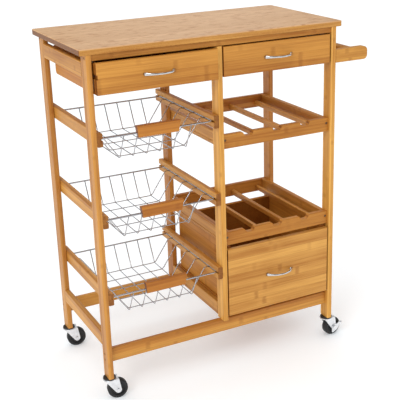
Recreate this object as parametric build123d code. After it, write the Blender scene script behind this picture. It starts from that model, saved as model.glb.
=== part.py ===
"""Rolling utility cart: bamboo frame on four swivel casters, two small drawers and one
large drawer, three pull-out wire baskets, two bottle racks and a towel rail."""
from build123d import *
import math
import os

# ------------------------------------------------------------------ dimensions (mm)
# Working axes: x to the right, y to the back, z up, from the front left corner of the
# tabletop's upper face.  Everything is moved to the base centre when it is written.
TOP_L, TOP_D, TOP_T = 670.0, 338.0, 14.0
BAR, BRD = 13.0, 35.0              # stock: thickness and width of legs and rails
EASE = 2.4                         # rounding of the long edges
LEG_F = (1.5, 36.5)                # front legs, y
LEG_B = (301.5, 336.5)             # back legs, y
PL_L = (14.5, 27.5)                # left leg plane, x
PL_M = (328.5, 341.5)              # middle leg plane, x
PL_R = (642.5, 655.5)              # right leg plane, x
LEG_END = -798.0                   # foot of the four corner legs
RAIL_T = 14.0                      # height of the thin top rails
BOT = (-759.0, -724.0)             # bottom rails, z
LOW = (-719.5, -684.5)             # lower side rails, z
APR = (-67.0, -32.0)               # side aprons, z
RIMS = (-203.0, -396.0, -589.0)    # basket rim heights
RIM_R, WIRE_R = 2.0, 1.2
RIM_X, RIM_Y = (38.0, 318.0), (12.0, 309.0)
BASK_DEPTH = 62.0
BASK_BX, BASK_BY = (94.0, 262.0), (46.0, 277.0)
LONG_X = (94.0, 127.6, 161.2, 194.8, 228.4, 262.0)
TRANS_Y = (54.0, 110.0, 166.0, 222.0, 272.0)
RUN_H = 31.5                       # basket runner height
HAND_X, HAND_W = 178.0, 108.0
DR_L = (31.5, 324.5)               # left drawer, x
DR_R = (345.5, 638.5)              # right drawer, x
DR_Z = (-101.0, -31.0)             # small drawer fronts, z
DR_SIDE_Z = (-101.0, -33.0)
DR_T = 10.0
CLOSED_Y = 3.5                     # face of a closed front
AJAR = 14.2                        # the left drawer rests this far out
DR_BACK = 287.5
GRV = (-67.0, -56.0)               # runner groove, z
BIG_F = (345.0, 639.0)             # large front, x
BIG_Z = (-714.5, -534.5)
BIG_S = (346.5, 637.5)             # large drawer box, x
BIG_SZ = (-682.5, -529.0)
BIG_T = 12.0
PULL_W, PULL_P = 79.0, 21.0        # bow pull: width and projection
RACK_Z = (-241.5, -490.0)          # rack rail tops
RACK_H = 35.0
NOTCH_X = (412.0, 492.0, 572.0)
SLAT_X = (372.0, 452.0, 532.0, 612.0)
SLAT_W, SLAT_H, SLAT_DROP = 9.0, 13.0, 15.0
ARM_X = (655.5, 750.0)
ARM_Z = (-103.0, -70.5)
DOWEL_X, DOWEL_Z, DOWEL_R = 728.0, -87.0, 10.0
WHEEL_R, WHEEL_W, TRAIL, WHEEL_Z = 25.0, 19.0, 17.8, -832.0
CASTERS = {"fl": (21.0, 19.0, -9.0), "bl": (21.0, 319.0, -6.0),
           "fr": (649.0, 19.0, 5.0), "br": (649.0, 319.0, 0.0)}
BRAKED = ("fr", "br")
STEM_R, RUN_CLEAR = 4.0, 0.05

X_MAX = ARM_X[1]
Y_MIN = CLOSED_Y - AJAR - PULL_P
SHIFT = (-X_MAX / 2, -(Y_MIN + TOP_D) / 2, WHEEL_R - WHEEL_Z)

os.makedirs("parts", exist_ok=True)


# ------------------------------------------------------------------ helpers
def blk(x, y, z):
    return Pos((x[0] + x[1]) / 2, (y[0] + y[1]) / 2, (z[0] + z[1]) / 2) * Box(
        x[1] - x[0], y[1] - y[0], z[1] - z[0])


def bar(x, y, z, ax, r=EASE):
    b = blk(x, y, z)
    return fillet(b.edges().filter_by(ax), r)


def rod(p, q, r):
    d = Vector(*q) - Vector(*p)
    return Plane(origin=p, z_dir=d) * Cylinder(
        r, d.length, align=(Align.CENTER, Align.CENTER, Align.MIN))


def prism_y(pts, y):
    f = Plane.XZ * Polygon(*pts, align=None)
    return Pos(0, y[0], 0) * extrude(f, y[1] - y[0], dir=(0, 1, 0))


def flat(shape):
    out = []
    for s in (shape if isinstance(shape, (list, tuple)) else [shape]):
        out += list(s.solids())
    return out


def save(name, shape, rot=None):
    solids = flat(shape)
    body = Compound(solids) if len(solids) > 1 else solids[0]
    if rot:
        body = Pos(rot[0], rot[1], 0) * Rot(0, 0, rot[2]) * body
    body = Pos(*SHIFT) * body
    body.label = name
    export_step(body, "parts/%s.step" % name)
    print("%-24s solids %2d  volume %10.1f" % (name, len(solids), sum(s.volume for s in solids)))


# ------------------------------------------------------------------ screws and their holes
# (point on the surface, direction into the wood)
SCREWS = []
for px, sx in ((PL_L[0], 1), (PL_R[1], -1)):
    for z in (-737.0, -752.0):
        SCREWS.append(((px, 21.5, z), (sx, 0, 0)))
        SCREWS.append(((px, 330.0, z), (sx, 0, 0)))
    SCREWS.append(((px, 12.5, -21.5), (sx, 0, 0)))
    SCREWS.append(((px, 325.5, -21.5), (sx, 0, 0)))
for zt in RACK_Z:
    for x in (348.0, 636.0):
        SCREWS.append(((x, 11.0, zt - 13.5), (0, 1, 0)))
        SCREWS.append(((x, 336.5, zt - 13.5), (0, -1, 0)))
HEAD_R, SHANK_R, HEAD_IN, HEAD_T, SHANK_L = 3.2, 1.8, 0.8, 1.8, 26.0


def screw(p, d, hole=False):
    p, d = Vector(*p), Vector(*d)
    a = p + d * HEAD_IN
    b = a + d * HEAD_T
    e = b + d * SHANK_L
    s = rod(tuple(a - d * (2.0 if hole else 0.0)), tuple(b), HEAD_R)
    return s + rod(tuple(b), tuple(e), SHANK_R)


def drill(shape, box):
    """Cut the screw holes whose screws enter the given block."""
    for p, d in SCREWS:
        q0 = Vector(*p)
        q1 = q0 + Vector(*d) * (HEAD_IN + HEAD_T + SHANK_L)
        lo = [min(q0.X, q1.X) - 3, min(q0.Y, q1.Y) - 3, min(q0.Z, q1.Z) - 3]
        hi = [max(q0.X, q1.X) + 3, max(q0.Y, q1.Y) + 3, max(q0.Z, q1.Z) + 3]
        if all(lo[i] < box[i][1] and hi[i] > box[i][0] for i in range(3)):
            shape = shape - screw(p, d, True)
    return shape


def wood(name, x, y, z, ax, r=EASE):
    save(name, drill(bar(x, y, z, ax, r), (x, y, z)))


# ------------------------------------------------------------------ frame
top = blk((0, TOP_L), (0, TOP_D), (-TOP_T, 0))
top = fillet(top.edges().filter_by(Axis.Z), 3.5)
top = fillet(top.edges().group_by(Axis.Z)[-1] + top.edges().group_by(Axis.Z)[0], 1.8)
save("tabletop", top)

for tag, px, ends in (("left", PL_L, (LEG_END, -TOP_T)), ("middle", PL_M, (BOT[1], -TOP_T - RAIL_T)),
                      ("right", PL_R, (LEG_END, -TOP_T))):
    for side, py in (("front", LEG_F), ("back", LEG_B)):
        leg = bar(px, py, ends, Axis.Z)
        if tag != "middle":
            cx, cy = (px[0] + px[1]) / 2, (py[0] + py[1]) / 2
            leg = leg - rod((cx, cy, LEG_END), (cx, cy, LEG_END + 30), STEM_R + 0.1)
        save("leg_%s_%s" % (side, tag), drill(leg, (px, py, ends)))

wood("rail_top_front", (PL_L[1], PL_R[0]), (6.0, 19.0), (-28.0, -14.0), Axis.X, 1.5)
wood("rail_top_back", (PL_L[1], PL_R[0]), (319.0, 332.0), (-28.0, -14.0), Axis.X, 1.5)
for tag, px in (("left", PL_L), ("middle", PL_M), ("right", PL_R)):
    wood("apron_%s" % tag, px, (LEG_F[1], LEG_B[0]), APR, Axis.Y)
    wood("rail_lower_%s" % tag, px, (LEG_F[1], LEG_B[0]), LOW, Axis.Y)
wood("rail_bottom_front", (PL_L[1], PL_R[0]), (15.0, 28.0), BOT, Axis.X)
wood("rail_bottom_back", (PL_L[1], PL_R[0]), (323.5, 336.5), BOT, Axis.X)

runs = []
for a, b in ((PL_L[1], PL_L[1] + 8.2), (PL_M[0] - 8.2, PL_M[0]), (PL_M[1], PL_M[1] + 8.2),
             (PL_R[0] - 8.2, PL_R[0])):
    runs.append(bar((a, b), (LEG_F[1], 288.0), (GRV[0] + 0.5, GRV[1] - 0.5), Axis.Y, 0.8))
for a, b in ((PL_M[1], PL_M[1] + 16.0), (PL_R[0] - 16.0, PL_R[0])):
    runs.append(bar((a, b), (LEG_F[1], LEG_B[0]), (BIG_SZ[0] - 18.4, BIG_SZ[0] - 0.4), Axis.Y, 1.0))
save("drawer_runners", runs)

pair = []
for zr in RIMS:
    for a, b, g in ((PL_L[1], PL_L[1] + BAR, (PL_L[1] + BAR - 5, PL_L[1] + BAR + 1)),
                    (PL_M[0] - BAR, PL_M[0], (PL_M[0] - BAR - 1, PL_M[0] - BAR + 5))):
        r = bar((a, b), (2.5, 336.5), (zr + 15.0 - RUN_H, zr + 15.0), Axis.Y)
        pair.append(r - blk(g, (0, 340), (zr - 2.6, zr + 2.6)))
save("basket_runners", pair)


def notch(cx, zt):
    """Scalloped rest for a bottle neck: rounded shoulders running down to a flat."""
    w, f, d = 18.5, 6.5, 10.0
    with BuildSketch(Plane.XZ) as s:
        with BuildLine():
            l1 = Polyline((cx - w - 4, zt + 2), (cx - w - 4, zt), (cx - w, zt))
            s1 = Spline(l1 @ 1, (cx - (w + f) / 2, zt - d / 2), (cx - f, zt - d),
                        tangents=((1, 0), (1, 0)))
            l2 = Line(s1 @ 1, (cx + f, zt - d))
            s2 = Spline(l2 @ 1, (cx + (w + f) / 2, zt - d / 2), (cx + w, zt),
                        tangents=((1, 0), (1, 0)))
            Polyline(s2 @ 1, (cx + w + 4, zt), (cx + w + 4, zt + 2), (cx - w - 4, zt + 2))
        make_face()
    return Pos(0, 30, 0) * extrude(s.sketch, 40, both=False)


for tag, zt in (("upper", RACK_Z[0]), ("lower", RACK_Z[1])):
    z = (zt - RACK_H, zt)
    fx, fy = (PL_M[1], PL_R[0]), (11.0, 24.0)
    f = bar(fx, fy, z, Axis.X, 2.0)
    for cx in NOTCH_X:
        f = f - notch(cx, zt)
    save("rack_%s_front_rail" % tag, drill(f, (fx, fy, z)))
    wood("rack_%s_back_rail" % tag, fx, (323.5, 336.5), z, Axis.X)
    boards = []
    for a in (PL_M[1], PL_R[0] - BAR):
        bx, by = (a, a + BAR), (24.0, 323.5)
        board = drill(bar(bx, by, z, Axis.Y, 2.0), (bx, by, z))
        if a == PL_M[1]:                        # shadow groove on the face towards the baskets
            board = board - blk((a - 1, a + 1.2), (by[0] - 1, by[1] + 1), (zt - 26.5, zt - 24.0))
        boards.append(board)
    save("rack_%s_side_boards" % tag, boards)
    save("rack_%s_slats" % tag, [
        bar((cx - SLAT_W / 2, cx + SLAT_W / 2), (24.0, 323.5),
            (zt - SLAT_DROP - SLAT_H, zt - SLAT_DROP), Axis.Y, 1.2) for cx in SLAT_X])

dowel = rod((DOWEL_X, 12.0, DOWEL_Z), (DOWEL_X, 326.0, DOWEL_Z), DOWEL_R)
for tag, y in (("front", (2.0, 20.0)), ("back", (318.0, 336.0))):
    arm = blk(ARM_X, y, ARM_Z)
    arm = fillet(arm.edges().filter_by(Axis.Y).group_by(Axis.X)[-1], 11.0)
    arm = fillet(arm.faces().sort_by(Axis.Y)[0].edges() + arm.faces().sort_by(Axis.Y)[-1].edges(), 1.6)
    save("towel_arm_%s" % tag, arm - dowel)
save("towel_dowel", dowel)
save("frame_screws", [screw(p, d) for p, d in SCREWS])


# ------------------------------------------------------------------ drawers
def pull(cx, y, z):
    """Bow pull: two feet on the front joined by a shallow arched bar."""
    h = PULL_W / 2 - 4.0
    path = Spline((cx - h, y - 3.0, z), (cx - h * 0.55, y - PULL_P + 5.0, z),
                  (cx, y - PULL_P + 2.7, z), (cx + h * 0.55, y - PULL_P + 5.0, z),
                  (cx + h, y - 3.0, z), tangents=((0.35, -1, 0), (0.35, 1, 0)))
    bow = sweep(Plane(origin=path @ 0, z_dir=path % 0) * Circle(2.6), path)
    feet = [rod((cx + s * h, y - 4.2, z), (cx + s * h, y, z), 4.0) for s in (-1, 1)]
    return bow + feet[0] + feet[1]


def small_drawer(name, dx, out):
    y = CLOSED_Y - out
    fr = blk(dx, (y, y + 12.0), DR_Z)
    fr = fillet(fr.faces().sort_by(Axis.Y)[0].edges(), 1.2)
    if out:
        fr = fr - blk((dx[0] - 1, dx[0] + 2.5), (y - 1, y + 13), GRV)
    save("%s_front" % name, fr)
    back = DR_BACK - out
    sides = []
    for a, g in ((dx[0], (dx[0] - 1, dx[0] + 5)), (dx[1] - DR_T, (dx[1] - 5, dx[1] + 1))):
        s = blk((a, a + DR_T), (y + 12.0, back), DR_SIDE_Z)
        e = s.edges().filter_by(Axis.X).group_by(Axis.Y)[-1].sort_by(Axis.Z)[0]
        s = fillet(e, 8.0)
        sides.append(s - blk(g, (y, back + 2), GRV))
    bk = blk((dx[0] + DR_T, dx[1] - DR_T), (back - 12.0, back), (DR_SIDE_Z[0] + 9, DR_SIDE_Z[1]))
    save("%s_box" % name, sides + [bk])
    save("%s_bottom" % name, blk((dx[0] + DR_T, dx[1] - DR_T), (y + 12.0, back - 12.0),
                                 (DR_SIDE_Z[0] + 4, DR_SIDE_Z[0] + 8)))
    save("%s_pull" % name, pull((dx[0] + dx[1]) / 2, y, (DR_Z[0] + DR_Z[1]) / 2))


small_drawer("drawer_left", DR_L, AJAR)
small_drawer("drawer_right", DR_R, 0.0)

y = CLOSED_Y
fr = blk(BIG_F, (y, y + 13.0), BIG_Z)
fr = fillet(fr.faces().sort_by(Axis.Y)[0].edges(), 1.2)
save("drawer_large_front", fr)
big = [blk((a, a + BIG_T), (y + 13.0, 289.0), BIG_SZ) for a in (BIG_S[0], BIG_S[1] - BIG_T)]
big.append(blk((BIG_S[0] + BIG_T, BIG_S[1] - BIG_T), (277.0, 289.0), BIG_SZ))
save("drawer_large_box", big)
save("drawer_large_bottom", blk((BIG_S[0] + BIG_T, BIG_S[1] - BIG_T), (y + 13.0, 277.0),
                                (BIG_SZ[0] + 3, BIG_SZ[0] + 8)))
save("drawer_large_pull", pull((BIG_F[0] + BIG_F[1]) / 2, y, (BIG_Z[0] + BIG_Z[1]) / 2))


# ------------------------------------------------------------------ wire baskets
def cut(shape, origin, normal, keep):
    parts = split(shape, Plane(origin=origin, z_dir=normal), keep=keep)
    return parts


def mitre(u, v):
    """Normal of the plane that halves the corner between two unit directions."""
    n = Vector(*u) - Vector(*v)
    return n.normalized()


for n, zr in enumerate(RIMS, 1):
    zb = zr - BASK_DEPTH
    zt = zb + 2 * WIRE_R - 0.5
    (x0, x1), (y0, y1) = RIM_X, RIM_Y
    (bx0, bx1), (by0, by1) = BASK_BX, BASK_BY
    # floor grille
    floor = None
    for x in LONG_X:
        r = rod((x, by0 - 10, zb), (x, by1 + 10, zb), WIRE_R)
        floor = r if floor is None else floor + r
    for yy in TRANS_Y:
        floor = floor + rod((bx0 - 10, yy, zt), (bx1 + 10, yy, zt), WIRE_R)
    solids = []
    # front and back combs with their rim bars
    combs = []
    for sy, ry, by in ((1, y0, by0), (-1, y1, by1)):
        up = Vector(0, ry - by, BASK_DEPTH).normalized()
        nrm = mitre((0, sy, 0), tuple(up))
        org = (0, by, zb)
        c = rod((x0 - 6, ry, zr), (x1 + 6, ry, zr), RIM_R)
        for x in LONG_X:
            p = Vector(x, by, zb) - up * 10
            c = c + cut(rod(tuple(p), (x, ry, zr), WIRE_R), org, tuple(nrm), Keep.BOTTOM)
        for rx, sx in ((x0, 1), (x1, -1)):
            c = cut(c, (rx, ry, zr), (sx, sy * -1.0, 0), Keep.TOP)
        floor = cut(floor, org, tuple(nrm), Keep.TOP)
        combs.append(c)
    for sx, rx, bx in ((1, x0, bx0), (-1, x1, bx1)):
        kx = rx + sx * 14.0                     # level run out of the runner's groove
        up = Vector(kx - bx, 0, zr - zt).normalized()
        nrm = mitre((sx, 0, 0), tuple(up))
        org = (bx, 0, zt)
        c = rod((rx, y0 - 6, zr), (rx, y1 + 6, zr), RIM_R)
        for yy in TRANS_Y:
            p = Vector(bx, yy, zt) - up * 10
            q = Vector(kx, yy, zr) + up * 8
            w = cut(rod(tuple(p), tuple(q), WIRE_R), org, tuple(nrm), Keep.BOTTOM)
            w = w & blk((min(kx, bx) - 20, max(kx, bx) + 20), (y0, y1), (zb - 5, zr))
            c = c + w + rod((rx, yy, zr), (kx + sx * 0.6, yy, zr), WIRE_R)
        for ry, sy in ((y0, 1), (y1, -1)):
            c = cut(c, (rx, ry, zr), (sx, -sy, 0), Keep.BOTTOM)
        floor = cut(floor, org, tuple(nrm), Keep.TOP)
        solids.append(c)
    hz0, hz1 = zr - 10.5, zr + 17.5
    hw = HAND_W / 2
    prof = Plane.YZ * Polygon((5.0, hz1), (19.0, hz1), (19.0, hz0), (8.0, hz0), align=None)
    hand = Pos(HAND_X - hw, 0, 0) * extrude(prof, HAND_W, dir=(1, 0, 0))
    hand = hand & prism_y([(HAND_X - hw, hz1), (HAND_X + hw, hz1), (HAND_X + hw - 4, hz0),
                           (HAND_X - hw + 4, hz0)], (0.0, 30.0))
    hand = fillet(hand.edges().filter_by(Axis.X), 1.6)
    save("basket_%d_handle" % n, hand - combs[0])
    save("basket_%d_wires" % n, [floor] + combs + solids)


# ------------------------------------------------------------------ casters
def tangent(p, c, r, side):
    dx, dy = c[0] - p[0], c[1] - p[1]
    d = math.hypot(dx, dy)
    a = math.atan2(dy, dx) + side * math.asin(r / d)
    l = math.sqrt(d * d - r * r)
    return (p[0] + l * math.cos(a), p[1] + l * math.sin(a))


stems = []
SEAT, CUP = (LEG_END - 3.5, LEG_END), (LEG_END - 6.8, LEG_END - 4.0)
for k, (cx, cy, rot) in CASTERS.items():
    s = rod((cx, cy, LEG_END), (cx, cy, LEG_END + 28), STEM_R)
    seat = rod((cx, cy, SEAT[0]), (cx, cy, SEAT[1]), 15.5)
    s = s + fillet(seat.edges().group_by(Axis.Z)[-1], 1.2)
    s = s + rod((cx, cy, CUP[0] - 1.2), (cx, cy, SEAT[0]), STEM_R)
    s = s + rod((cx, cy, CUP[0] - 1.3), (cx, cy, CUP[0] - 0.3), 5.5)
    stems.append(s)
save("caster_stems", stems)

PLATE = (11.5, 13.5)                          # fork side plates, distance from the middle
for k, (cx, cy, rot) in CASTERS.items():
    place = (cx, cy, rot)
    braked = k in BRAKED
    # cup that turns under the seat, with the flat crown of the fork
    cup = rod((0, 0, CUP[0]), (0, 0, CUP[1]), 16.5)
    cup = fillet(cup.edges().group_by(Axis.Z)[-1], 1.0)
    crown = blk((-12.0, 20.5), (-PLATE[1], PLATE[1]), (CUP[0], CUP[0] + 2.0))
    crown = fillet(crown.edges().filter_by(Axis.Z).group_by(Axis.X)[-1], 4.0)
    cup = cup + crown
    cup = cup - rod((0, 0, CUP[0] - 1), (0, 0, CUP[1] + 1), STEM_R + RUN_CLEAR)
    c, r = (TRAIL, WHEEL_Z), 8.0
    a, b = (-13.0, CUP[0] + 2.0), (21.0, CUP[0] + 2.0)
    pts = [a, b, tangent(b, c, r, 1), c, tangent(a, c, r, -1)]
    fork = cup
    for s0 in (PLATE[0], -PLATE[1]):
        fork = fork + prism_y(pts, (s0, s0 + 2.0))
        fork = fork + rod((TRAIL, s0, WHEEL_Z), (TRAIL, s0 + 2.0, WHEEL_Z), r)
    near = -PLATE[1] - (2.1 if braked else 0.0)
    axle = rod((TRAIL, near, WHEEL_Z), (TRAIL, PLATE[1], WHEEL_Z), 3.0)
    hexa = [(TRAIL + 4.6 * math.cos(math.radians(t)), WHEEL_Z + 4.6 * math.sin(math.radians(t)))
            for t in range(0, 360, 60)]
    axle = axle + prism_y(hexa, (PLATE[1], PLATE[1] + 2.8)) + prism_y(hexa, (near - 2.8, near))
    save("caster_%s_fork" % k, fork + axle, place)

    h = WHEEL_W / 2
    w = rod((TRAIL, -h, WHEEL_Z), (TRAIL, h, WHEEL_Z), WHEEL_R)
    w = fillet(w.edges().filter_by(GeomType.CIRCLE), 4.5)
    for s in (-1, 1):
        w = w - rod((TRAIL, s * (h - 2.5), WHEEL_Z), (TRAIL, s * (h + 1), WHEEL_Z), 17.0)
        w = w + rod((TRAIL, s * (h - 3.0), WHEEL_Z), (TRAIL, s * (h + 1.4), WHEEL_Z), 6.5)
    w = w - rod((TRAIL, -h - 3, WHEEL_Z), (TRAIL, h + 3, WHEEL_Z), 3.0 + RUN_CLEAR)
    save("caster_%s_wheel" % k, w, place)

    if braked:
        # side lever that turns on the axle, outside the near plate
        q = [(10.5, -829.0), (17.0, -824.5), (28.0, -825.0), (34.5, -820.0), (42.0, -821.5),
             (41.0, -827.5), (35.0, -828.5), (33.5, -835.0), (28.0, -841.5), (20.0, -845.5),
             (12.0, -848.0), (9.5, -844.0)]
        lev = prism_y(q, (-PLATE[1] - 1.8, -PLATE[1] - 0.3))
        tab = prism_y([(34.5, -820.0), (42.0, -821.5), (41.6, -823.5), (35.0, -822.0)],
                      (-PLATE[1] - 5.0, -PLATE[1] - 0.3))
        lev = lev + tab - rod((TRAIL, -20, WHEEL_Z), (TRAIL, 20, WHEEL_Z), 3.0 + RUN_CLEAR)
        save("caster_%s_brake" % k, lev, place)
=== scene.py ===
import math
import bmesh
import bpy
from mathutils import Matrix, Vector


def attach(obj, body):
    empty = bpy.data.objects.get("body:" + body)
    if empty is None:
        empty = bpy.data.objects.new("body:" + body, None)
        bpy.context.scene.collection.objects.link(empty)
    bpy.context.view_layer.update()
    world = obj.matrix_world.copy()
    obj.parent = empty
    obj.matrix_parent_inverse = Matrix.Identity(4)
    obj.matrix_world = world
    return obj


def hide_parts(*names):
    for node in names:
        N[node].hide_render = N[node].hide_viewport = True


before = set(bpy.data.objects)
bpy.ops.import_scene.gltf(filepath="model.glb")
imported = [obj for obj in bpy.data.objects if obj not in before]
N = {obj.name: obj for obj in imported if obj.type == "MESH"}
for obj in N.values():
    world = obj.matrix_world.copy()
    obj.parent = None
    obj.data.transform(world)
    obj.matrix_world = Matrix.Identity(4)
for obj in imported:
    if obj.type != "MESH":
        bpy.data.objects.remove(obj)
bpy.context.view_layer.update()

# ------------------------------------------------------------------ camera
RX = Vector((0.8832871685, -0.4682172270, -0.0240084622))
UP = Vector((0.1750771582, 0.2819107480, 0.9433315000))
FW = Vector((0.4349158155, 0.8374359430, -0.3309822878))
cam_data = bpy.data.cameras.new("view_camera")
cam = bpy.data.objects.new("view_camera", cam_data)
bpy.context.scene.collection.objects.link(cam)
rot = Matrix((RX, UP, -FW)).transposed().to_4x4()
cam.matrix_world = Matrix.Translation((-0.9890547, -1.9715422, 1.2038322)) @ rot
cam_data.sensor_width = 36.0
cam_data.lens = 907.3406 / 400.0 * 36.0
cam_data.shift_x = -(221.8357 - 200.0) / 400.0
cam_data.shift_y = (189.7525 - 200.0) / 400.0
cam_data.clip_start, cam_data.clip_end = 0.05, 60.0
bpy.context.scene.camera = cam


# ------------------------------------------------------------------ node helpers
class G:
    def __init__(self, name):
        self.mat = bpy.data.materials.new(name)
        self.mat.use_nodes = True
        self.nt = self.mat.node_tree
        self.nt.nodes.clear()
        self.out = self.nt.nodes.new("ShaderNodeOutputMaterial")
        self.bsdf = self.nt.nodes.new("ShaderNodeBsdfPrincipled")
        self.nt.links.new(self.bsdf.outputs[0], self.out.inputs[0])
        tc = self.nt.nodes.new("ShaderNodeTexCoord")
        self.obj = tc.outputs["Object"]
        sep = self.nt.nodes.new("ShaderNodeSeparateXYZ")
        self.nt.links.new(self.obj, sep.inputs[0])
        self.xyz = [sep.outputs[i] for i in range(3)]

    def put(self, sock, val):
        if hasattr(val, "is_output"):
            self.nt.links.new(val, sock)
        elif isinstance(val, (tuple, list)) and len(val) == 3 and sock.type == "RGBA":
            sock.default_value = (*val, 1.0)
        else:
            sock.default_value = val

    def m(self, op, a, b=0.0, c=0.0, clamp=False):
        n = self.nt.nodes.new("ShaderNodeMath")
        n.operation = op
        n.use_clamp = clamp
        self.put(n.inputs[0], a)
        self.put(n.inputs[1], b)
        self.put(n.inputs[2], c)
        return n.outputs[0]

    def vec(self, x, y, z):
        n = self.nt.nodes.new("ShaderNodeCombineXYZ")
        for i, v in enumerate((x, y, z)):
            self.put(n.inputs[i], v)
        return n.outputs[0]

    def noise(self, vec, scale=1.0, detail=2.0, rough=0.5, dist=0.0):
        n = self.nt.nodes.new("ShaderNodeTexNoise")
        self.put(n.inputs["Vector"], vec)
        n.inputs["Scale"].default_value = scale
        n.inputs["Detail"].default_value = detail
        n.inputs["Roughness"].default_value = rough
        n.inputs["Distortion"].default_value = dist
        return n.outputs["Fac"] if "Fac" in n.outputs else n.outputs[0]

    def white(self, vec):
        n = self.nt.nodes.new("ShaderNodeTexWhiteNoise")
        n.noise_dimensions = "3D"
        self.put(n.inputs["Vector"], vec)
        return n.outputs["Value"], n.outputs["Color"]

    def mix(self, fac, a, b, kind="MIX"):
        n = self.nt.nodes.new("ShaderNodeMix")
        n.data_type = "RGBA"
        n.blend_type = kind
        n.clamp_factor = True
        self.put(n.inputs["Factor"], fac)
        for s, v in (("A", a), ("B", b)):
            sock = [i for i in n.inputs if i.name == s and i.type == "RGBA"][0]
            self.put(sock, v)
        return [o for o in n.outputs if o.type == "RGBA"][0]

    def ramp(self, fac, stops):
        n = self.nt.nodes.new("ShaderNodeValToRGB")
        e = n.color_ramp.elements
        while len(e) < len(stops):
            e.new(0.5)
        for el, (p, c) in zip(e, stops):
            el.position = p
            el.color = (*c, 1.0) if len(c) == 3 else c
        self.put(n.inputs[0], fac)
        return n.outputs[0]

    def span(self, v, lo, hi, a=0.0, b=1.0):
        n = self.nt.nodes.new("ShaderNodeMapRange")
        n.clamp = True
        n.interpolation_type = "SMOOTHSTEP"
        self.put(n.inputs[0], v)
        for i, k in enumerate((lo, hi, a, b)):
            n.inputs[1 + i].default_value = k
        return n.outputs[0]

    def bump(self, h, strength, dist):
        n = self.nt.nodes.new("ShaderNodeBump")
        n.inputs["Strength"].default_value = strength
        n.inputs["Distance"].default_value = dist
        self.put(n.inputs["Height"], h)
        self.put(self.bsdf.inputs["Normal"], n.outputs[0])

    def set(self, **kw):
        for k, v in kw.items():
            self.put(self.bsdf.inputs[k.replace("_", " ")], v)


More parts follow.
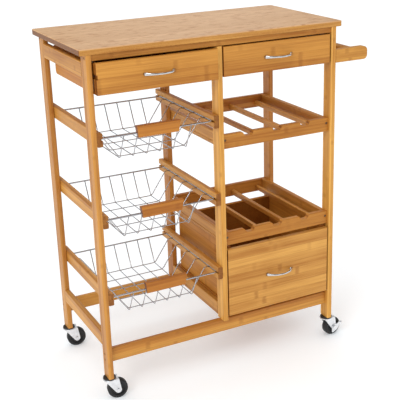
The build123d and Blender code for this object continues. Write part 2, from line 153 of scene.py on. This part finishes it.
def bamboo(name, along, across, thick, light, dark, strip=0.0185, ply=0.0, seed=0.0,
           vary=1.0, fibre=1.0, knuckle=0.30, rough=0.42, coat=0.045, edge=None, split=None, tint=None, smudge=0.0):
    """Laminated bamboo: strips side by side, each with its own tone, fine fibres that run
    along it and the culm's nodes as short cross bands."""
    g = G(name)
    u, v, w = g.xyz[along], g.xyz[across], g.xyz[thick]
    wob = g.noise(g.vec(g.m("MULTIPLY", u, 3.0), seed, 0.0), 1.0, 1.0)
    v2 = g.m("ADD", v, g.m("MULTIPLY", wob, 0.0006))
    sv = g.m("ADD", g.m("DIVIDE", v2, strip), 40.37 + seed)
    iv = g.m("FLOOR", sv)
    if ply:
        iw = g.m("FLOOR", g.m("ADD", g.m("DIVIDE", w, ply), 20.5 + seed))
    else:
        iw = seed
    r1, rc = g.white(g.vec(iv, iw, seed))
    r2, _ = g.white(g.vec(iv, iw, seed + 7.3))
    rc_v, _ = g.white(g.vec(iv, iw, seed + 3.1))
    # segments of a strip along its length (finger joints are hidden, so only tone changes)
    knots = g.m("ADD", g.m("DIVIDE", u, 0.26), g.m("MULTIPLY", r2, 5.0))
    fr = g.m("FRACT", knots)
    d = g.m("ABSOLUTE", g.m("SUBTRACT", fr, 0.5))
    wig = g.noise(g.vec(g.m("MULTIPLY", u, 120.0), g.m("MULTIPLY", v, 160.0), r2), 1.0, 2.0)
    d = g.m("ADD", d, g.m("MULTIPLY", g.m("SUBTRACT", wig, 0.5), 0.030))
    band = g.m("MULTIPLY", g.span(d, 0.006, 0.036, 1.0, 0.0), g.span(rc_v, 0.25, 0.75, 0.35, 1.0))
    halo = g.span(d, 0.03, 0.12, 1.0, 0.0)
    fine = g.noise(g.vec(g.m("MULTIPLY", u, 14.0), g.m("MULTIPLY", v, 900.0), g.m("MULTIPLY", w, 900.0)),
                   1.0, 3.0, 0.6)
    streak = g.noise(g.vec(g.m("MULTIPLY", u, 5.0), g.m("MULTIPLY", v, 210.0), g.m("MULTIPLY", w, 210.0)),
                     1.0, 2.0, 0.55)
    broad = g.noise(g.vec(g.m("MULTIPLY", u, 4.0), g.m("MULTIPLY", v, 16.0), g.m("MULTIPLY", w, 16.0)),
                    1.0, 2.0, 0.5)
    t = g.m("MULTIPLY", g.m("SUBTRACT", r1, 0.5), 0.62 * vary)
    t = g.m("ADD", t, g.m("MULTIPLY", g.m("SUBTRACT", fine, 0.5), 0.9 * fibre))
    t = g.m("ADD", t, g.m("MULTIPLY", g.m("SUBTRACT", streak, 0.5), 0.85 * fibre))
    t = g.m("ADD", t, g.m("MULTIPLY", g.m("SUBTRACT", broad, 0.5), 0.9 * vary))
    t = g.m("ADD", t, 0.5, clamp=True)
    mid = tuple((a + b) / 2 for a, b in zip(light, dark))
    col = g.ramp(t, [(0.0, dark), (0.5, mid), (1.0, light)])
    col = g.mix(g.m("MULTIPLY", halo, knuckle * 0.30), col, tuple(c * 1.08 for c in light))
    col = g.mix(g.m("MULTIPLY", band, knuckle), col, tuple(c * k for c, k in zip(dark, (0.62, 0.45, 0.30))))
    if split:
        # one half of a rail is laid from darker strips
        ax, lo_, hi_, tone = split
        col = g.mix(g.span(g.xyz[ax], lo_, hi_, 0.0, 0.75), col, tone, "MULTIPLY")
    if edge:
        # long edges get a golden tone and the end grain a dark brown, other than the face above them. The darker end
        # grain is the board's own; the face's paler tone is partly the board's own and partly painted light from above,
        # which the sides don't get
        z0, x0_, x1_, etone, gtone = edge
        speck = g.noise(g.vec(g.m("MULTIPLY", u, 260.0), g.m("MULTIPLY", v, 420.0), g.m("MULTIPLY", w, 420.0)),
                        1.0, 3.0, 0.6)
        side = g.span(g.xyz[2], z0 - 0.0006, z0 + 0.0006, 1.0, 0.0)
        col = g.mix(side, col, g.ramp(g.m("ADD", g.m("MULTIPLY", streak, 0.7), g.m("MULTIPLY", speck, 0.3)),
                                      [(0.30, etone[1]), (0.70, etone[0])]))
        endm = g.m("ADD", g.span(g.xyz[0], x0_, x0_ + 0.0006, 1.0, 0.0), g.span(g.xyz[0], x1_ - 0.0006, x1_, 0.0, 1.0),
                   clamp=True)
        endm = g.m("MULTIPLY", endm, side)
        col = g.mix(endm, col, g.ramp(speck, [(0.30, gtone[1]), (0.70, gtone[0])]))
    if smudge:
        # short brown flecks left by the culm's nodes, drawn out along the boards
        f1 = g.noise(g.vec(g.m("MULTIPLY", u, 34.0), g.m("MULTIPLY", v, 150.0), seed), 1.0, 2.0, 0.5)
        f2 = g.noise(g.vec(g.m("MULTIPLY", u, 9.0), g.m("MULTIPLY", v, 26.0), seed + 4.0), 1.0, 1.0, 0.5)
        fl = g.m("MULTIPLY", g.span(f1, 0.52, 0.63, 0.0, 1.0), g.span(f2, 0.42, 0.54, 0.20, 1.0))
        if edge:
            fl = g.m("MULTIPLY", fl, g.m("SUBTRACT", 1.0, side))
        col = g.mix(g.m("MULTIPLY", fl, smudge), col, tuple(c * k for c, k in zip(dark, (0.80, 0.62, 0.45))))
    if tint:
        col = g.mix(1.0, col, tint, "MULTIPLY")
    # cut ends show darker end grain
    if not edge:
        nz = g.nt.nodes.new("ShaderNodeTexCoord")
        sp = g.nt.nodes.new("ShaderNodeSeparateXYZ")
        g.nt.links.new(nz.outputs["Normal"], sp.inputs[0])
        endf = g.span(g.m("ABSOLUTE", sp.outputs[along]), 0.80, 0.95, 0.0, 0.85)
        col = g.mix(endf, col, (0.42, 0.30, 0.24), "MULTIPLY")
    # fine seam between strips
    edge = g.m("ABSOLUTE", g.m("SUBTRACT", g.m("FRACT", sv), 0.5))
    seam = g.span(edge, 0.470, 0.497, 0.0, 1.0)
    col = g.mix(g.m("MULTIPLY", seam, 0.32), col, tuple(c * 0.5 for c in dark))
    rgh = g.m("ADD", rough, g.m("MULTIPLY", g.m("SUBTRACT", fine, 0.5), 0.22))
    g.set(Base_Color=col, Roughness=rgh)
    g.bsdf.inputs["IOR"].default_value = 1.46
    g.bsdf.inputs["Specular IOR Level"].default_value = 0.26
    g.bsdf.inputs["Coat Weight"].default_value = coat
    g.bsdf.inputs["Coat Roughness"].default_value = 0.28
    h = g.m("ADD", g.m("MULTIPLY", fine, 0.5), g.m("MULTIPLY", streak, 0.5))
    h = g.m("SUBTRACT", h, g.m("MULTIPLY", seam, 0.5))
    g.bump(h, 0.35, 0.0005)
    return g.mat


def metal(name, base, rough, var=0.08, scale=60.0, bump=0.15, spots=None):
    g = G(name)
    n1 = g.noise(g.obj, scale, 4.0, 0.6)
    n2 = g.noise(g.obj, scale * 9.0, 3.0, 0.6)
    lo = tuple(max(0.0, c * (1 - 1.4 * var)) for c in base)
    hi = tuple(min(1.0, c * (1 + var)) for c in base)
    col = g.ramp(n1, [(0.25, lo), (0.75, hi)])
    if spots:
        col = g.mix(g.span(n2, 0.60, 0.75, 0.0, 0.55), col, spots)
    g.set(Base_Color=col, Roughness=g.m("ADD", rough, g.m("MULTIPLY", g.m("SUBTRACT", n2, 0.5), 0.16)))
    g.bsdf.inputs["Metallic"].default_value = 1.0
    g.bump(n2, bump, 0.0002)
    return g.mat


def plastic(name, base, rough, scale=120.0, bump=0.2, var=0.3, spec=0.4):
    g = G(name)
    n1 = g.noise(g.obj, scale * 0.25, 3.0, 0.6)
    n2 = g.noise(g.obj, scale * 8.0, 3.0, 0.6)
    lo = tuple(c * (1 - var) for c in base)
    hi = tuple(min(1.0, c * (1 + var)) for c in base)
    g.set(Base_Color=g.ramp(n1, [(0.3, lo), (0.7, hi)]),
          Roughness=g.m("ADD", rough, g.m("MULTIPLY", g.m("SUBTRACT", n2, 0.5), 0.2)))
    g.bsdf.inputs["Specular IOR Level"].default_value = spec
    g.bump(n2, bump, 0.0002)
    return g.mat


X, Y, Z = 0, 1, 2
# light and dark ends of each family of bamboo tones (linear)
LIGHT = ((0.67, 0.330, 0.066), (0.35, 0.122, 0.014))
AMBER = ((0.56, 0.225, 0.030), (0.33, 0.100, 0.009))
# tabletop face: paler and pinker than the board's edges, partly its own tone and partly painted light from above
TOPC_TONE_AND_PAINTED_LIGHT = ((0.80, 0.515, 0.285), (0.53, 0.290, 0.128))
TOP_EDGE = (0.8548, -0.3744, 0.2944, ((0.60, 0.30, 0.070), (0.36, 0.135, 0.020)),
            ((0.27, 0.095, 0.012), (0.12, 0.035, 0.004)))
mats = {
    "top": bamboo("bamboo_top", X, Y, Z, *TOPC_TONE_AND_PAINTED_LIGHT, strip=0.0212, seed=3.0, vary=0.40, fibre=0.80, knuckle=0.12,
                  rough=0.40, edge=TOP_EDGE, smudge=0.80),
    "light_z": bamboo("bamboo_leg", Z, Y, X, *LIGHT, strip=0.0118, ply=0.0065, seed=11.0, knuckle=0.28,
                      tint=(0.92, 0.87, 0.90)),
    "leg_bright": bamboo("bamboo_leg_bright", Z, Y, X, *LIGHT, strip=0.0118, ply=0.0065, seed=17.0, knuckle=0.28,
                         tint=(1.26, 1.40, 1.60)),
    "leg_back": bamboo("bamboo_leg_back", Z, Y, X, *LIGHT, strip=0.0118, ply=0.0065, seed=19.0, knuckle=0.30,
                       tint=(0.86, 0.74, 0.66)),
    "rail_back": bamboo("bamboo_rail_back", X, Z, Y, *LIGHT, strip=0.0118, ply=0.0065, seed=29.0, knuckle=0.34,
                        tint=(0.86, 0.74, 0.64)),
    "rail_amber": bamboo("bamboo_rail_amber", X, Z, Y, *LIGHT, strip=0.0150, ply=0.0065, seed=25.0, knuckle=0.34,
                         tint=(0.93, 0.86, 0.74)),
    "drawer_side": bamboo("bamboo_big_side", Y, Z, X, *LIGHT, strip=0.0200, seed=53.0, knuckle=0.30, vary=0.8,
                          tint=(1.0, 0.93, 0.80)),
    "light_x": bamboo("bamboo_rail", X, Z, Y, *LIGHT, strip=0.0118, ply=0.0065, seed=23.0, knuckle=0.30),
    "light_y": bamboo("bamboo_side", Y, Z, X, *LIGHT, strip=0.0118, ply=0.0065, seed=31.0, knuckle=0.30),
    "two_tone": bamboo("bamboo_bottom_rail", X, Z, Y, *LIGHT, strip=0.0175, ply=0.0065, seed=27.5, vary=0.5,
                       knuckle=0.35, split=(2, 0.1150, 0.1163, (0.80, 0.66, 0.55))),
    "front": bamboo("bamboo_front", X, Z, Y, *LIGHT, strip=0.0200, seed=43.0, vary=0.95, knuckle=0.42,
                    tint=(0.92, 0.85, 0.76)),
    "front_big": bamboo("bamboo_front_large", X, Z, Y, *LIGHT, strip=0.0200, seed=46.0, vary=0.95, knuckle=0.42,
                        tint=(1.08, 1.14, 1.34)),
    "amber_y": bamboo("bamboo_box", Y, Z, X, *AMBER, strip=0.0200, seed=51.0),
    "amber_x": bamboo("bamboo_handle", X, Z, Y, *AMBER, strip=0.0140, seed=63.0, tint=(0.90, 0.86, 0.90)),
    "zinc": metal("zinc_plate", (0.80, 0.81, 0.83), 0.30, var=0.10, scale=90.0, bump=0.12),
    "wire": metal("plated_wire", (0.50, 0.50, 0.52), 0.24, var=0.08, scale=40.0, bump=0.05),
    "chrome": metal("bright_pull", (0.62, 0.61, 0.60), 0.12, var=0.05, scale=30.0, bump=0.02),
    "screw": metal("screw_steel", (0.16, 0.11, 0.075), 0.45, var=0.2, scale=300.0, bump=0.3),
    "black": plastic("caster_seat", (0.020, 0.019, 0.018), 0.42),
    "rubber": plastic("caster_rubber", (0.016, 0.016, 0.017), 0.55, var=0.35, bump=0.35),
}
use = {}
for n in N:
    if n == "tabletop":
        k = "top"
    elif n in ("leg_front_middle", "leg_front_right"):
        k = "leg_bright"
    elif n in ("leg_back_middle", "leg_back_right"):
        k = "leg_back"
    elif n.startswith("leg_"):
        k = "light_z"
    elif n.startswith("rack_") and n.endswith("_back_rail"):
        k = "rail_back"
    elif n.startswith("rack_") and n.endswith("_front_rail"):
        k = "rail_amber"
    elif n == "drawer_large_box":
        k = "drawer_side"
    elif n == "rail_bottom_front":
        k = "two_tone"
    elif n.startswith(("rail_top", "rail_bottom")) or n.endswith(("_front_rail", "_back_rail")):
        k = "light_x"
    elif n.startswith("towel_arm"):
        k = "light_x"
    elif n.startswith("towel_dowel"):
        k = "light_y"
    elif n.startswith(("apron", "rail_lower", "basket_runners")) or n.endswith(("_side_boards", "_slats")):
        k = "light_y"
    elif n == "drawer_runners":
        k = "amber_y"
    elif n == "drawer_large_front":
        k = "front_big"
    elif n.endswith("_front") and n.startswith("drawer"):
        k = "front"
    elif n.startswith("drawer") and n.endswith(("_box", "_bottom")):
        k = "amber_y"
    elif n.endswith("_pull"):
        k = "chrome"
    elif n.endswith("_handle"):
        k = "amber_x"
    elif n.endswith("_wires"):
        k = "wire"
    elif n.endswith("_fork"):
        k = "zinc"
    elif n.endswith("_wheel"):
        k = "rubber"
    elif n.endswith("_brake"):
        k = "zinc"
    elif n == "caster_stems":
        k = "black"
    elif n == "frame_screws":
        k = "screw"
    else:
        raise RuntimeError(n)
    use[n] = k
    o = N[n]
    if not o.material_slots:
        o.data.materials.append(mats[k])
    for s in o.material_slots:
        s.material = mats[k]


# ------------------------------------------------------------------ tubes
def tube(name, paths, mat, sides=10):
    """One mesh of round rods. paths: (points, radius, closed)."""
    bm = bmesh.new()
    for pts, r, closed in paths:
        pts = [Vector(p) for p in pts]
        n = len(pts)
        tang = []
        for i in range(n):
            a = pts[(i - 1) % n] if (closed or i > 0) else pts[i]
            b = pts[(i + 1) % n] if (closed or i < n - 1) else pts[i]
            tang.append((b - a).normalized())
        ref = Vector((0, 0, 1)) if abs(tang[0].z) < 0.9 else Vector((0, 1, 0))
        nrm = (ref - tang[0] * ref.dot(tang[0])).normalized()
        rings = []
        for i in range(n):
            t = tang[i]
            nrm = (nrm - t * nrm.dot(t)).normalized()
            bn = t.cross(nrm)
            rings.append([bm.verts.new(pts[i] + (nrm * math.cos(2 * math.pi * k / sides)
                                                 + bn * math.sin(2 * math.pi * k / sides)) * r)
                          for k in range(sides)])
        last = n if closed else n - 1
        for i in range(last):
            a, b = rings[i], rings[(i + 1) % n]
            off = 0
            if closed and i == n - 1:
                best = 1e9
                for s in range(sides):
                    dd = sum((a[k].co - b[(k + s) % sides].co).length for k in range(sides))
                    if dd < best:
                        best, off = dd, s
            for k in range(sides):
                bm.faces.new((a[k], a[(k + 1) % sides], b[(k + 1 + off) % sides], b[(k + off) % sides]))
        if not closed:
            bm.faces.new(list(reversed(rings[0])))
            bm.faces.new(rings[-1])
    bmesh.ops.recalc_face_normals(bm, faces=bm.faces)
    me = bpy.data.meshes.new(name)
    bm.to_mesh(me)
    bm.free()
    for p in me.polygons:
        p.use_smooth = len(p.vertices) == 4
    o = bpy.data.objects.new(name, me)
    bpy.context.scene.collection.objects.link(o)
    me.materials.append(mat)
    return o


def rounded(corners, radii, closed=False, steps=6):
    pts = [Vector(c) for c in corners]
    n = len(pts)
    out = []
    for i in range(n):
        if not closed and i in (0, n - 1):
            out.append(pts[i])
            continue
        p, a, b = pts[i], pts[(i - 1) % n], pts[(i + 1) % n]
        u, v = (a - p).normalized(), (b - p).normalized()
        ang = u.angle(v)
        r = radii[i] if isinstance(radii, (list, tuple)) else radii
        d = min(r / math.tan(ang / 2), (a - p).length * 0.48, (b - p).length * 0.48)
        r = d * math.tan(ang / 2)
        c = p + (u + v).normalized() * (r / math.sin(ang / 2))
        s, e = p + u * d, p + v * d
        for k in range(steps + 1):
            t = k / steps
            q = (s - c).lerp(e - c, t).normalized()
            # even angular steps
            w0, w1 = (s - c).normalized(), (e - c).normalized()
            th = w0.angle(w1)
            q = (w0 * math.sin((1 - t) * th) + w1 * math.sin(t * th)) / math.sin(th)
            out.append(c + q * r)
    return out


SH = Vector((-0.375, -0.15315, 0.857))


def T(x, y, z):
    return Vector((x / 1000, y / 1000, z / 1000)) + SH


RIMS = (-203.0, -396.0, -589.0)
LONG_X = (94.0, 127.6, 161.2, 194.8, 228.4, 262.0)
TRANS_Y = (54.0, 110.0, 166.0, 222.0, 272.0)
for i, zr in enumerate(RIMS, 1):
    zb = zr - 62.0
    zt = zb + 1.9
    paths = []
    rim = rounded([T(38, 12, zr), T(318, 12, zr), T(318, 309, zr), T(38, 309, zr)], 0.007, closed=True)
    paths.append((rim, 0.0020, True))
    for x in LONG_X:
        c = [T(x, 12.0, zr - 0.4), T(x, 46, zb), T(x, 277, zb), T(x, 309.0, zr - 0.4)]
        paths.append((rounded(c, 0.007), 0.00122, False))
    for y in TRANS_Y:
        c = [T(38.5, y, zr - 0.2), T(52.0, y, zr - 0.2), T(94, y, zt), T(262, y, zt), T(304.0, y, zr - 0.2),
             T(317.5, y, zr - 0.2)]
        paths.append((rounded(c, [0, 0.005, 0.012, 0.012, 0.005, 0]), 0.00122, False))
    o = tube("basket_%d_rods" % i, paths, mats["wire"])
    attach(o, "basket_%d" % i)
    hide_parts("basket_%d_wires" % i)

def bow(name, cx, fy, z, mat):
    """Bow pull: flattened ends on the front, a rounder and thinner arch between them."""
    bm = bmesh.new()
    n, sides, rings = 44, 16, []
    for i in range(n + 1):
        q = -1.0 + 2.0 * i / n
        a = abs(q)
        x = 37.8 * q
        arch = (1 - a ** 2.0) ** 0.85
        y = -1.5 - 17.4 * arch
        hz = 2.3 + 1.6 * a ** 3
        th = 1.9 - 0.6 * a ** 3
        e = 1e-3
        a2 = min(1.0, a + e)
        dy = -(17.4 * ((1 - a2 ** 2.0) ** 0.85 - arch)) / (37.8 * e) * (1 if q >= 0 else -1) if a < 0.999 else \
            3.0 * (1 if q > 0 else -1)
        t = Vector((1.0, dy, 0)).normalized()
        nn = Vector((-t.y, t.x, 0))
        ring = []
        for k in range(sides):
            w = 2 * math.pi * k / sides
            cw, sw = math.cos(w), math.sin(w)
            off = nn * (th * math.copysign(abs(cw) ** 0.8, cw)) + Vector((0, 0, 1)) * (hz * math.copysign(abs(sw) ** 0.8, sw))
            ring.append(bm.verts.new(T(cx + x + off.x, fy + min(y + off.y, -0.05), z + off.z)))
        rings.append(ring)
    for i in range(n):
        for k in range(sides):
            bm.faces.new((rings[i][k], rings[i][(k + 1) % sides], rings[i + 1][(k + 1) % sides], rings[i + 1][k]))
    bm.faces.new(list(reversed(rings[0])))
    bm.faces.new(rings[-1])
    # feet: short round posts let into the front
    for s_ in (-1, 1):
        lo_ = []
        for yy, rr in ((-2.6, 2.2), (-1.2, 3.6), (-0.05, 3.9)):
            lo_.append([bm.verts.new(T(cx + s_ * 35.4 + rr * math.cos(2 * math.pi * k / 20), fy + yy,
                                       z + rr * math.sin(2 * math.pi * k / 20))) for k in range(20)])
        for a_, b_ in zip(lo_, lo_[1:]):
            for k in range(20):
                bm.faces.new((a_[k], a_[(k + 1) % 20], b_[(k + 1) % 20], b_[k]))
        bm.faces.new(lo_[0])
        bm.faces.new(list(reversed(lo_[-1])))
    bmesh.ops.recalc_face_normals(bm, faces=bm.faces)
    me = bpy.data.meshes.new(name)
    bm.to_mesh(me)
    bm.free()
    for p in me.polygons:
        p.use_smooth = len(p.vertices) == 4
    o = bpy.data.objects.new(name, me)
    bpy.context.scene.collection.objects.link(o)
    me.materials.append(mat)
    return o


for tag, cx, fy, z in (("left", 178.0, 3.5 - 14.2, -66.0), ("right", 492.0, 3.5, -66.0), ("large", 492.0, 3.5, -624.5)):
    o = bow("drawer_%s_bow" % tag, cx, fy, z, mats["chrome"])
    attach(o, "drawer_%s" % tag)
    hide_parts("drawer_%s_pull" % tag)

# ------------------------------------------------------------------ floor and light
me = bpy.data.meshes.new("floor")
s = 9.0
me.from_pydata([(-s, -s, 0), (s, -s, 0), (s, s, 0), (-s, s, 0)], [], [(0, 1, 2, 3)])
floor = bpy.data.objects.new("floor", me)
bpy.context.scene.collection.objects.link(floor)
g = G("floor_paper")
g.set(Base_Color=g.ramp(g.noise(g.obj, 3.0, 3.0), [(0.3, (0.905, 0.91, 0.915)), (0.7, (0.93, 0.935, 0.94))]))
g.bsdf.inputs["Roughness"].default_value = 0.9
g.bsdf.inputs["Specular IOR Level"].default_value = 0.0
g.bsdf.inputs["Emission Color"].default_value = (0.80, 0.93, 1.0, 1.0)
g.bsdf.inputs["Emission Strength"].default_value = 0.16
me.materials.append(g.mat)

world = bpy.data.worlds.new("studio")
bpy.context.scene.world = world
world.use_nodes = True
wn = world.node_tree
wn.nodes.clear()
wo = wn.nodes.new("ShaderNodeOutputWorld")
bg = wn.nodes.new("ShaderNodeBackground")
bg.inputs[0].default_value = (1.0, 1.0, 1.0, 1.0)
bg.inputs[1].default_value = 1.02
# what bright metal mirrors: a studio with soft boxes and dark gaps between them
wt = wn.nodes.new("ShaderNodeTexCoord")
wz = wn.nodes.new("ShaderNodeTexNoise")
wz.inputs["Scale"].default_value = 2.2
wz.inputs["Detail"].default_value = 0.0
wn.links.new(wt.outputs["Generated"], wz.inputs["Vector"])
wr = wn.nodes.new("ShaderNodeValToRGB")
wr.color_ramp.elements[0].position, wr.color_ramp.elements[0].color = 0.49, (0.02, 0.02, 0.022, 1)
wr.color_ramp.elements[1].position, wr.color_ramp.elements[1].color = 0.56, (0.85, 0.85, 0.85, 1)
wn.links.new(wz.outputs[0], wr.inputs[0])
bg2 = wn.nodes.new("ShaderNodeBackground")
wn.links.new(wr.outputs[0], bg2.inputs[0])
lp = wn.nodes.new("ShaderNodeLightPath")
mx = wn.nodes.new("ShaderNodeMixShader")
wn.links.new(lp.outputs["Is Glossy Ray"], mx.inputs[0])
wn.links.new(bg.outputs[0], mx.inputs[1])
wn.links.new(bg2.outputs[0], mx.inputs[2])
wn.links.new(mx.outputs[0], wo.inputs[0])


def area(name, loc, target, size, power, colour=(1, 1, 1)):
    li = bpy.data.lights.new(name, "AREA")
    li.shape = "RECTANGLE"
    li.size, li.size_y = size
    li.energy = power
    li.color = colour
    o = bpy.data.objects.new(name, li)
    bpy.context.scene.collection.objects.link(o)
    o.location = loc
    o.rotation_mode = "QUATERNION"
    o.rotation_quaternion = (Vector(target) - Vector(loc)).to_track_quat("-Z", "Y")
    return o


area("key", (-2.6, -2.1, 2.6), (0, 0, 0.45), (1.4, 1.4), 34.0)

bpy.context.scene.view_settings.view_transform = "Standard"
bpy.context.scene.view_settings.look = "None"
